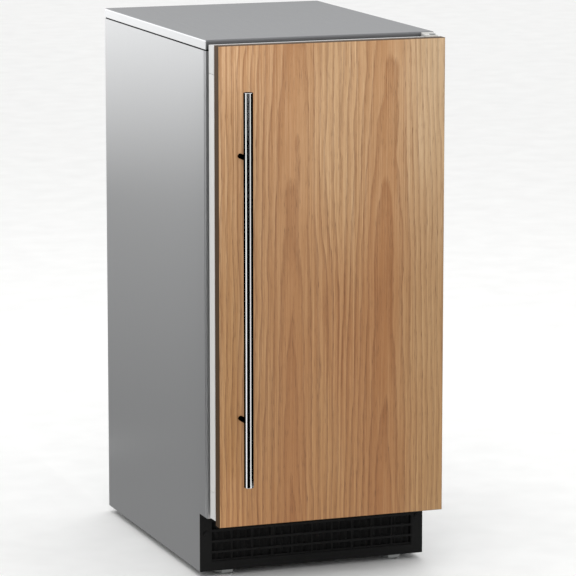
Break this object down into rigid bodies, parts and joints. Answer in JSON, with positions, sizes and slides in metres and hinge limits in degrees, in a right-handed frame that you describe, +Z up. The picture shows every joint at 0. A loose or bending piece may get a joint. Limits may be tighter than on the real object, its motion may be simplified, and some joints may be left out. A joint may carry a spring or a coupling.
{
  "type": "undercounter ice maker",
  "caption": "Built-in undercounter ice maker with an oak overlay door, bar handle, brushed steel cabinet, black toe-kick grille and levelling feet.",
  "frame": {"origin": "on the floor, midway between the sides and midway between the handle and the back", "axes": "+X to the right across the front, +Y towards the back, +Z up"},
  "size_m": [0.378, 0.6244, 0.858],
  "materials": {
    "white_steel": "white enamel",
    "white_plastic": "moulded ABS",
    "foam": "rigid polyurethane foam",
    "gasket_rubber": "soft black vinyl",
    "oak": "satin lacquered oak",
    "black_steel": "satin black powder coat",
    "chrome_steel": "polished stainless steel",
    "zinc_steel": "zinc plated",
    "brushed_steel": "brushed stainless steel",
    "galvanised_steel": "galvanised",
    "grey_plastic": "moulded",
    "black_plastic": "moulded",
    "clear_plastic": "translucent moulded plastic",
    "copper": "bare copper",
    "aluminium": "plain fins"
  },
  "bodies": {
    "cabinet": {"side_panel_left": "brushed_steel", "side_panel_right": "brushed_steel", "top_cover": "brushed_steel", "top_seal": "gasket_rubber", "rear_panel": "galvanised_steel", "rear_service_cover": "galvanised_steel", "base_pan": "black_steel", "front_frame": "white_plastic", "bin_liner": "white_plastic", "lower_front_panel": "black_steel", "foam_insulation": "foam", "kick_grille": "black_steel", "cabinet_screws": "black_steel", "foot_inserts": "zinc_steel", "hinge_bracket_top": "white_steel", "hinge_bracket_bottom": "white_steel", "hinge_pins": "zinc_steel", "drain_line": "grey_plastic", "evaporator_plate": "copper", "evaporator_coil": "copper", "spray_platform": "white_plastic", "water_reservoir": "grey_plastic", "pump_motor": "black_plastic", "cube_slide": "white_plastic", "freezer_shroud": "white_plastic", "scoop_hanger": "white_plastic", "bin_lamp": "clear_plastic", "control_panel": "grey_plastic", "indicator_lamps": "clear_plastic", "compressor": "black_steel", "compressor_grommets": "gasket_rubber", "condenser": "aluminium", "fan_shroud": "galvanised_steel", "fan_motor": "black_steel", "filter_drier": "copper", "refrigerant_lines": "copper", "water_inlet_valve": "white_plastic", "mains_gland": "black_plastic", "control_box": "galvanised_steel"},
    "foot_front_left": {"foot_front_left": "zinc_steel"},
    "foot_front_right": {"foot_front_right": "zinc_steel"},
    "foot_rear_left": {"foot_rear_left": "zinc_steel"},
    "foot_rear_right": {"foot_rear_right": "zinc_steel"},
    "curtain": {"ice_curtain": "clear_plastic"},
    "scoop": {"ice_scoop": "clear_plastic"},
    "rocker": {"power_switch": "black_plastic"},
    "fan": {"fan_blade": "black_plastic"},
    "impeller": {"pump_impeller": "grey_plastic"},
    "door": {"door_shell": "white_steel", "door_end_cap_top": "white_plastic", "door_end_cap_bottom": "white_plastic", "door_liner": "white_plastic", "door_foam": "foam", "door_gasket": "gasket_rubber", "wood_panel": "oak", "panel_mount_plate": "black_steel", "handle_bar": "chrome_steel", "handle_posts": "chrome_steel", "handle_screws": "zinc_steel", "hinge_bushings": "white_plastic"}
  },
  "joints": [
    {"name": "door_swing", "type": "hinge", "parent": "cabinet", "child": "door", "pos_m": [0.178, -0.23275, 0.48], "axis": [0, 0, 1], "range_deg": [0, 110]},
    {"name": "curtain_swing", "type": "hinge", "parent": "cabinet", "child": "curtain", "pos_m": [0, -0.11475, 0.708], "axis": [-1, 0, 0], "range_deg": [0, 40]},
    {"name": "scoop_lift", "type": "slide", "parent": "cabinet", "child": "scoop", "axis": [0, 0, 1], "range_m": [0, 0.04]},
    {"name": "switch_rock", "type": "hinge", "parent": "cabinet", "child": "rocker", "pos_m": [-0.06, -0.19475, 0.791], "axis": [1, 0, 0], "range_deg": [-10, 10]},
    {"name": "fan_spin", "type": "hinge", "parent": "cabinet", "child": "fan", "pos_m": [-0.055, -0.09275, 0.128], "axis": [0, 1, 0], "continuous": true},
    {"name": "impeller_spin", "type": "hinge", "parent": "cabinet", "child": "impeller", "pos_m": [-0.1, 0.20275, 0.65], "axis": [0, 0, 1], "continuous": true},
    {"name": "foot_front_left_level", "type": "slide", "parent": "cabinet", "child": "foot_front_left", "axis": [0, 0, -1], "range_m": [0, 0.02]},
    {"name": "foot_front_right_level", "type": "slide", "parent": "cabinet", "child": "foot_front_right", "axis": [0, 0, -1], "range_m": [0, 0.02]},
    {"name": "foot_rear_left_level", "type": "slide", "parent": "cabinet", "child": "foot_rear_left", "axis": [0, 0, -1], "range_m": [0, 0.02]},
    {"name": "foot_rear_right_level", "type": "slide", "parent": "cabinet", "child": "foot_rear_right", "axis": [0, 0, -1], "range_m": [0, 0.02]}
  ]
}
